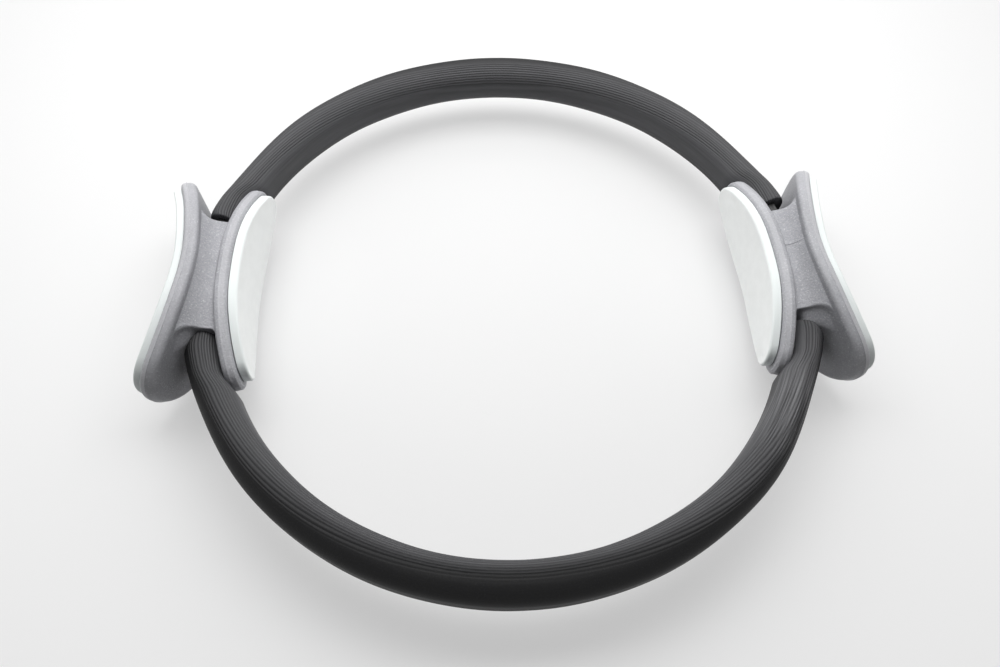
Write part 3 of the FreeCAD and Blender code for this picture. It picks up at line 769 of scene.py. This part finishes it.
def close_sleeve(piece, mouth_angle, crown_angle):
    """Closes a quarter sleeve: a rounded end with the bore at its mouth, and a flat end at the crown."""
    shape = bmesh.new()
    shape.from_mesh(piece.data)
    ends = {"mouth": [], "crown": []}
    for edge in [e for e in shape.edges if e.is_boundary]:
        angle = math.atan2(edge.verts[0].co.y, edge.verts[0].co.x)
        from_mouth = abs(math.remainder(angle - mouth_angle, math.tau))
        on_mouth = from_mouth < abs(crown_angle - mouth_angle) / 2
        ends["mouth" if on_mouth else "crown"].append(edge)
    along = Vector((-math.sin(mouth_angle), math.cos(mouth_angle), 0))
    if crown_angle > mouth_angle:
        along = -along
    middle = sum((v.co for e in ends["mouth"] for v in e.verts), Vector()) / (2 * len(ends["mouth"]))
    outwards = Vector((math.cos(mouth_angle), math.sin(mouth_angle), 0))
    loop = ends["mouth"]
    start = {v: v.co.copy() for e in loop for v in e.verts}
    origin = {v: v for v in start}
    for share, reach in SLEEVE_END:
        grown_edges = bmesh.ops.extrude_edge_only(shape, edges=loop)["geom"]
        fresh = [g for g in grown_edges if isinstance(g, bmesh.types.BMVert)]
        links = {}
        for v in fresh:
            old = next(e.other_vert(v) for e in v.link_edges if e.other_vert(v) in origin)
            links[v] = origin[old]
            rest = start[links[v]] - middle
            across, high, slant = rest.dot(outwards), rest.z, along * rest.dot(along)
            if share:
                spot = middle + outwards * across * share + Vector((0, 0, high * share))
            else:
                size = max(abs(across) / SLEEVE_BORE[0], abs(high) / SLEEVE_BORE[1])
                spot = middle + (outwards * across + Vector((0, 0, high))) / size
            v.co = spot + slant + along * reach
        origin = links
        loop = [g for g in grown_edges if isinstance(g, bmesh.types.BMEdge)]
    bmesh.ops.contextual_create(shape, geom=loop)
    bmesh.ops.contextual_create(shape, geom=ends["crown"])
    bmesh.ops.recalc_face_normals(shape, faces=shape.faces)
    for face in shape.faces:
        face.smooth = len(face.verts) <= 4
    shape.to_mesh(piece.data)
    shape.free()
    piece.data.set_sharp_from_angle(angle=SLEEVE_CREASE)


def quarter_angles(half, side, end):
    """Ring angles of a quarter's end at its mouth and of its crown."""
    lift = math.asin(end / RING) * HALVES[half]
    mouth = lift if side == "right" else math.pi * HALVES[half] - lift
    crown = math.pi / 2 * HALVES[half]
    return mouth, crown + math.copysign(CROWN_GAP / RING, mouth - crown)


def bend_quarter(piece):
    """Bakes a quarter's placement into its mesh."""
    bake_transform(piece)


def make_sleeve(half, side, tree, material):
    """A quarter of a foam sleeve, pinched by the wings, from a handle's mouth to the crown."""
    quarter = QUARTERS[half, side]
    mouth, crown = quarter_angles(half, side, quarter.end)
    values = {
        "Ring Radius": RING, "Start": mouth, "Sweep": crown - mouth, "Half Thick": SLEEVE_HALF[0],
        "Half High": SLEEVE_HALF[1], "Corner": SLEEVE_CORNER, "Rib Pitch": RIB_PITCH, "Rib Depth": RIB_DEPTH,
        "Rib Spread": RIB_SPREAD, "Rib At Mouth": math.radians(quarter.ribs), "Rib At Crown": RIB_AT_CROWN,
        "Painted Light From": PAINTED_LIGHT_FROM[half], "Height": MIDDLE, "Finish": material,
    }
    piece = grown(f"{half}_{side}_sleeve", tree, values)
    mesh = piece.data
    mesh.vertices.foreach_set("co", pinch(points_of(mesh), half, side).ravel())
    close_sleeve(piece, mouth, crown)
    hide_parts(f"{half}_sleeve")
    bend_quarter(piece)


def band_tree():
    """Flat band: a rectangle run along an arc."""
    sizes = ["Radius", "Start", "Sweep", "Half Thick", "Half Wide", "Height"]
    tree, given, result = shape_tree("spring_band", sizes)
    path = tree.nodes.new("GeometryNodeCurveArc")
    path.mode = "RADIUS"
    path.inputs["Resolution"].default_value = BAND_STEPS
    section = tree.nodes.new("GeometryNodeCurvePrimitiveQuadrilateral")
    sweep = tree.nodes.new("GeometryNodeCurveToMesh")
    sweep.inputs["Fill Caps"].default_value = True
    lift = tree.nodes.new("GeometryNodeTransform")
    rise = tree.nodes.new("ShaderNodeCombineXYZ")
    real = tree.nodes.new("GeometryNodeRealizeInstances")
    finish = tree.nodes.new("GeometryNodeSetMaterial")
    links = [
        (given.outputs["Radius"], path.inputs["Radius"]),
        (given.outputs["Start"], path.inputs["Start Angle"]),
        (given.outputs["Sweep"], path.inputs["Sweep Angle"]),
        (path.outputs[0], sweep.inputs["Curve"]),
        ((Field(tree, given.outputs["Half Thick"]) * 2).socket, section.inputs["Width"]),
        ((Field(tree, given.outputs["Half Wide"]) * 2).socket, section.inputs["Height"]),
        (section.outputs[0], sweep.inputs["Profile Curve"]),
        (sweep.outputs[0], lift.inputs["Geometry"]),
        (given.outputs["Height"], rise.inputs["Z"]),
        (rise.outputs[0], lift.inputs["Translation"]),
        (lift.outputs[0], real.inputs[0]),
        (real.outputs[0], finish.inputs["Geometry"]),
        (given.outputs["Finish"], finish.inputs["Material"]),
        (finish.outputs[0], result.inputs[0]),
    ]
    for first, second in links:
        tree.links.new(first, second)
    return tree


def make_band(half, side, layer, tree, material):
    """A quarter of a spring band, from inside a handle to the crown."""
    mouth, crown = quarter_angles(half, side, BAND_END)
    step = BAND_STEP if layer == "outer" else -BAND_STEP
    values = {
        "Radius": RING + step, "Start": mouth, "Sweep": crown - mouth, "Half Thick": BAND_HALF[0],
        "Half Wide": BAND_HALF[1], "Height": MIDDLE, "Finish": material,
    }
    piece = grown(f"{half}_{side}_{layer}_strip", tree, values)
    tidy_mesh(piece.data)
    smooth(piece.data)
    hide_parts(f"{half}_{layer}_band")
    bend_quarter(piece)


# Finishes


def linear(red, green, blue):
    """A colour as linear light from its 0 to 255 screen values."""
    share = [c / 255 for c in (red, green, blue)]
    return [c / 12.92 if c <= 0.04045 else ((c + 0.055) / 1.055) ** 2.4 for c in share] + [1.0]


def new_material(name, **constants):
    """A material with its shader, constants set on the shader's own sockets."""
    material = bpy.data.materials.new(name)
    material.use_nodes = True
    shader = material.node_tree.nodes["Principled BSDF"]
    for socket, value in constants.items():
        shader.inputs[socket.replace("_", " ")].default_value = value
    return material, material.node_tree, shader


def noise(tree, vector, scale, detail, roughness):
    """Soft noise from 0 to 1."""
    node = tree.nodes.new("ShaderNodeTexNoise")
    node.inputs["Scale"].default_value = scale
    node.inputs["Detail"].default_value = detail
    node.inputs["Roughness"].default_value = roughness
    tree.links.new(vector, node.inputs["Vector"])
    return Field(tree, node.outputs["Fac"])


def mixed(tree, share, first, second):
    """A colour between two, each a colour or a socket."""
    node = tree.nodes.new("ShaderNodeMix")
    node.data_type = "RGBA"
    tree.links.new(share.socket, node.inputs["Factor"])
    # Inputs 6 and 7 and output 2 are the node's colour sockets
    for slot, colour in ((node.inputs[6], first), (node.inputs[7], second)):
        if isinstance(colour, bpy.types.NodeSocket):
            tree.links.new(colour, slot)
        else:
            slot.default_value = colour
    return node.outputs[2]


def grain_group():
    """Fine moulded grain: a height for bump, a mask of bright specks, which the handle uses for painted
    glints, and slow mottling.
    """
    tree = bpy.data.node_groups.new("grain", "ShaderNodeTree")
    tree.interface.new_socket("Vector", in_out="INPUT", socket_type="NodeSocketVector")
    tree.interface.new_socket("Fineness", in_out="INPUT", socket_type="NodeSocketFloat")
    for name in ("Height", "Specks", "Mottle"):
        tree.interface.new_socket(name, in_out="OUTPUT", socket_type="NodeSocketFloat")
    given = tree.nodes.new("NodeGroupInput")
    result = tree.nodes.new("NodeGroupOutput")
    scaled = tree.nodes.new("ShaderNodeVectorMath")
    scaled.operation = "SCALE"
    tree.links.new(given.outputs["Vector"], scaled.inputs[0])
    tree.links.new(given.outputs["Fineness"], scaled.inputs["Scale"])
    height = noise(tree, scaled.outputs[0], 1.0, 4.0, 0.6)
    specks = ramp(noise(tree, scaled.outputs[0], 1.25, 2.0, 0.5), 0.6, 0.7)
    mottle = noise(tree, scaled.outputs[0], 0.06, 3.0, 0.6)
    for name, field in (("Height", height), ("Specks", specks), ("Mottle", mottle)):
        tree.links.new(field.socket, result.inputs[name])
    return tree


def add_grain(tree, group, fineness):
    """The outputs of the grain group in a material, with this many cells to a metre."""
    node = tree.nodes.new("ShaderNodeGroup")
    node.node_tree = group
    tree.links.new(object_place(tree), node.inputs["Vector"])
    node.inputs["Fineness"].default_value = fineness
    return {name: Field(tree, node.outputs[name]) for name in ("Height", "Specks", "Mottle")}


def set_surface(shader, colour, roughness):
    """Links a colour and a roughness to a shader."""
    links = roughness.tree.links
    links.new(colour, shader.inputs["Base Color"])
    links.new(roughness.socket, shader.inputs["Roughness"])


def add_bump(tree, shader, height, distance):
    """Relief of a height from 0 to 1 over a distance."""
    bump = tree.nodes.new("ShaderNodeBump")
    bump.inputs["Distance"].default_value = distance
    bump.inputs["Strength"].default_value = 1.0
    tree.links.new(height.socket, bump.inputs["Height"])
    tree.links.new(bump.outputs[0], shader.inputs["Normal"])


def object_place(tree):
    """The shaded point in the object's own frame."""
    return tree.nodes.new("ShaderNodeTexCoord").outputs["Object"]


def distance_from(tree, spot):
    """Distance of the shaded point from a spot."""
    node = tree.nodes.new("ShaderNodeVectorMath")
    node.operation = "DISTANCE"
    tree.links.new(object_place(tree), node.inputs[0])
    node.inputs[1].default_value = spot
    return Field(tree, node.outputs["Value"])


def marked(tree, name):
    """A value that the mesh stores for each point."""
    node = tree.nodes.new("ShaderNodeAttribute")
    node.attribute_name = name
    return Field(tree, node.outputs["Fac"])


def handle_plastic(grain):
    """Grey moulded plastic with a fine spark-eroded grain, pale specks painted as glints, and a painted
    highlight along the rims' crests.
    """
    material, tree, shader = new_material("handle_plastic", Specular_IOR_Level=0.42)
    fine = add_grain(tree, grain, 1000.0)
    tone = ramp(fine["Mottle"] * 0.4 + fine["Height"] * 0.6, 0.36, 0.64)
    colour = mixed(tree, tone, linear(138, 139, 143), linear(156, 156, 161))
    # Painted highlight: a paler tone along the crests of the rims, stronger on the pad side, where the light
    # falls.
    rim_highlight = (marked(tree, "painted_highlight") * (fine["Height"] * 0.8 + 0.5)).clamp(0, 1)
    colour = mixed(tree, rim_highlight, colour, linear(184, 184, 188))
    # Painted glints: pale specks of the grain stand in for glints of light on the plastic.
    colour = mixed(tree, fine["Specks"] * 0.5, colour, linear(206, 206, 209))
    set_surface(shader, colour, fine["Height"] * 0.22 + 0.40)
    add_bump(tree, shader, fine["Height"], 0.3 * MM)
    return material


def pad_foam(grain):
    """White foam skin with a faint cool tint at its cut edge."""
    material, tree, shader = new_material("pad_foam", Specular_IOR_Level=0.3)
    fine = add_grain(tree, grain, 2200.0)
    tone = ramp(fine["Mottle"], 0.35, 0.65)
    colour = mixed(tree, tone, linear(238, 240, 239), linear(241, 243, 242))
    colour = mixed(tree, marked(tree, "cut"), colour, linear(226, 231, 230))
    set_surface(shader, colour, fine["Height"] * 0.15 + 0.55)
    add_bump(tree, shader, fine["Height"], 0.02 * MM)
    return material


def sleeve_foam(grain):
    """Dark foam with lengthwise streaks and dull specks, with painted light on its ribbed side and a paler
    spot that is partly wear and partly a painted highlight.
    """
    material, tree, shader = new_material("sleeve_foam", Specular_IOR_Level=0.16)
    lie = tree.nodes.new("ShaderNodeAttribute")
    lie.attribute_name = "lie"
    stretch = tree.nodes.new("ShaderNodeMapping")
    stretch.inputs["Scale"].default_value = (14.0, 900.0, 1.0)
    tree.links.new(lie.outputs["Vector"], stretch.inputs["Vector"])
    streak = noise(tree, stretch.outputs[0], 1.0, 3.0, 0.6)
    fine = add_grain(tree, grain, 2600.0)
    # Partly wear, partly a painted highlight: paler streaks at one spot beside the right handle.
    scuff_and_highlight_spot = ramp(distance_from(tree, SCUFF_AND_HIGHLIGHT_AT), SCUFF_AND_HIGHLIGHT_REACH, 0.2 * SCUFF_AND_HIGHLIGHT_REACH)
    scuff_and_highlight = scuff_and_highlight_spot * ramp(streak, 0.46, 0.62)
    tone = ramp(streak, 0.3, 0.72)
    # The foam's own dark colour, and the painted light of its ribbed side.
    foam_colour = mixed(tree, tone, linear(14, 14, 15), linear(20, 20, 21))
    painted_light = mixed(tree, tone, linear(72, 72, 74), linear(84, 84, 86))
    colour = mixed(tree, marked(tree, "painted_light_side"), foam_colour, painted_light)
    colour = mixed(tree, scuff_and_highlight * (fine["Height"] * 0.9 + 0.1), colour, linear(128, 128, 130))
    colour = mixed(tree, fine["Specks"] * 0.12, colour, linear(110, 110, 112))
    set_surface(shader, colour, streak * 0.2 + 0.42)
    add_bump(tree, shader, fine["Height"] * 0.8 + streak * 0.3, 0.08 * MM)
    return material


def band_laminate(grain):
    """Black glass-fibre laminate."""
    material, tree, shader = new_material("band_laminate", Specular_IOR_Level=0.5)
    fine = add_grain(tree, grain, 900.0)
    colour = mixed(tree, fine["Mottle"], linear(16, 16, 17), linear(30, 30, 31))
    set_surface(shader, colour, fine["Height"] * 0.2 + 0.3)
    return material


def fastener_steel(grain):
    """Zinc-plated steel."""
    material, tree, shader = new_material("fastener_steel", Metallic=1.0)
    fine = add_grain(tree, grain, 700.0)
    colour = mixed(tree, fine["Mottle"], linear(150, 150, 150), linear(186, 186, 188))
    set_surface(shader, colour, fine["Height"] * 0.3 + 0.25)
    return material


# Stage


def seen_directly(tree):
    """1 for rays that show the background itself, also in gloss and glass, and 0 for those that light."""
    path = tree.nodes.new("ShaderNodeLightPath")
    seen = Field(tree, path.outputs["Is Camera Ray"]) + Field(tree, path.outputs["Is Glossy Ray"])
    seen = seen + Field(tree, path.outputs["Is Transmission Ray"])
    return seen.clamp(0, 1)


def floor_material():
    """Pale floor that reads near white to the camera, whiter further out, with painted shade in its middle
    round the ring, and keeps the ring's shadow.
    """
    material, tree, shader = new_material("floor", Base_Color=linear(230, 230, 230), Roughness=0.6)
    glow = tree.nodes.new("ShaderNodeEmission")
    glow.inputs["Color"].default_value = linear(255, 255, 255)
    distance = distance_from(tree, (0, 0, 0))
    share = ramp(distance, *FLOOR_FADE) * 0.5 + 0.5
    # Painted shade: the floor's glow is weaker in its middle, round the ring.
    strength = ramp(distance, *FLOOR_DIM) * (1 - FLOOR_DIM_TO) + FLOOR_DIM_TO
    tree.links.new(strength.socket, glow.inputs["Strength"])
    mix = tree.nodes.new("ShaderNodeMixShader")
    tree.links.new((seen_directly(tree) * share).socket, mix.inputs[0])
    tree.links.new(shader.outputs[0], mix.inputs[1])
    tree.links.new(glow.outputs[0], mix.inputs[2])
    tree.links.new(mix.outputs[0], tree.nodes["Material Output"].inputs["Surface"])
    return material


def make_stage():
    """A floor that reaches to the horizon."""
    mesh = bpy.data.meshes.new("floor")
    corners = [(-FLOOR_HALF, -FLOOR_HALF, 0), (FLOOR_HALF, -FLOOR_HALF, 0)]
    corners += [(FLOOR_HALF, FLOOR_HALF, 0), (-FLOOR_HALF, FLOOR_HALF, 0)]
    mesh.from_pydata(corners, [], [(0, 1, 2, 3)])
    mesh.materials.append(floor_material())
    add_object("floor", mesh)


def add_panel(name, place, target, size, power):
    """A soft panel of light that the camera doesn't see."""
    lamp = bpy.data.lights.new(name, "AREA")
    lamp.shape = "RECTANGLE"
    lamp.size, lamp.size_y = size
    lamp.energy = power
    panel = bpy.data.objects.new(name, lamp)
    panel.location = place
    panel.rotation_euler = (Vector(target) - Vector(place)).to_track_quat("-Z", "Y").to_euler()
    panel.visible_camera = False
    bpy.context.scene.collection.objects.link(panel)


def make_light():
    """Soft panels over the ring's rear half and behind it, in a room that is dim in front and overhead."""
    for name, panel in PANELS.items():
        add_panel(name, *panel)
    world = bpy.data.worlds.new("room")
    world.use_nodes = True
    tree = world.node_tree
    direction = tree.nodes.new("ShaderNodeSeparateXYZ")
    tree.links.new(tree.nodes.new("ShaderNodeTexCoord").outputs["Generated"], direction.inputs[0])
    walls = ramp(Field(tree, direction.outputs["Y"]), -0.45, 0.1) * (ROOM_REAR - ROOM_FRONT) + ROOM_FRONT
    ceiling = ramp(Field(tree, direction.outputs["Z"]), 0.45, 0.8) * (ROOM_OVERHEAD - 1) + 1
    seen = seen_directly(tree)
    strength = walls * ceiling * (seen * -1 + 1) + seen
    tree.links.new(strength.socket, tree.nodes["Background"].inputs["Strength"])
    tree.nodes["Background"].inputs["Color"].default_value = (1, 1, 1, 1)
    bpy.context.scene.world = world
    bpy.context.scene.view_settings.view_transform = "Standard"


def make_camera():
    """The camera that took the photograph, solved from the ring's ellipse and the handles."""
    camera = bpy.data.cameras.new("camera")
    camera.lens = CAMERA_LENS
    camera.sensor_fit = "HORIZONTAL"
    camera.clip_start = 0.01
    eye = bpy.data.objects.new("camera", camera)
    eye.location = CAMERA_PLACE
    eye.rotation_euler = [math.radians(a) for a in CAMERA_TURN]
    bpy.context.scene.collection.objects.link(eye)
    bpy.context.scene.camera = eye


make_stage()
make_light()
make_camera()
grain = grain_group()
plastic, foam, dark_foam = handle_plastic(grain), pad_foam(grain), sleeve_foam(grain)
laminate, steel = band_laminate(grain), fastener_steel(grain)
for side, turn in HANDLES.items():
    make_handle(side, turn, plastic)
    for wing_name in WINGS:
        make_pad(side, wing_name, turn, foam)
    for kind in ("screws", "nuts"):
        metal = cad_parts[f"{side}_{kind}"].data
        metal.materials.clear()
        metal.materials.append(steel)
ribbed, strip = sleeve_tree(), band_tree()
for half, side in QUARTERS:
    make_sleeve(half, side, ribbed, dark_foam)
    for layer in ("outer", "inner"):
        make_band(half, side, layer, strip, laminate)
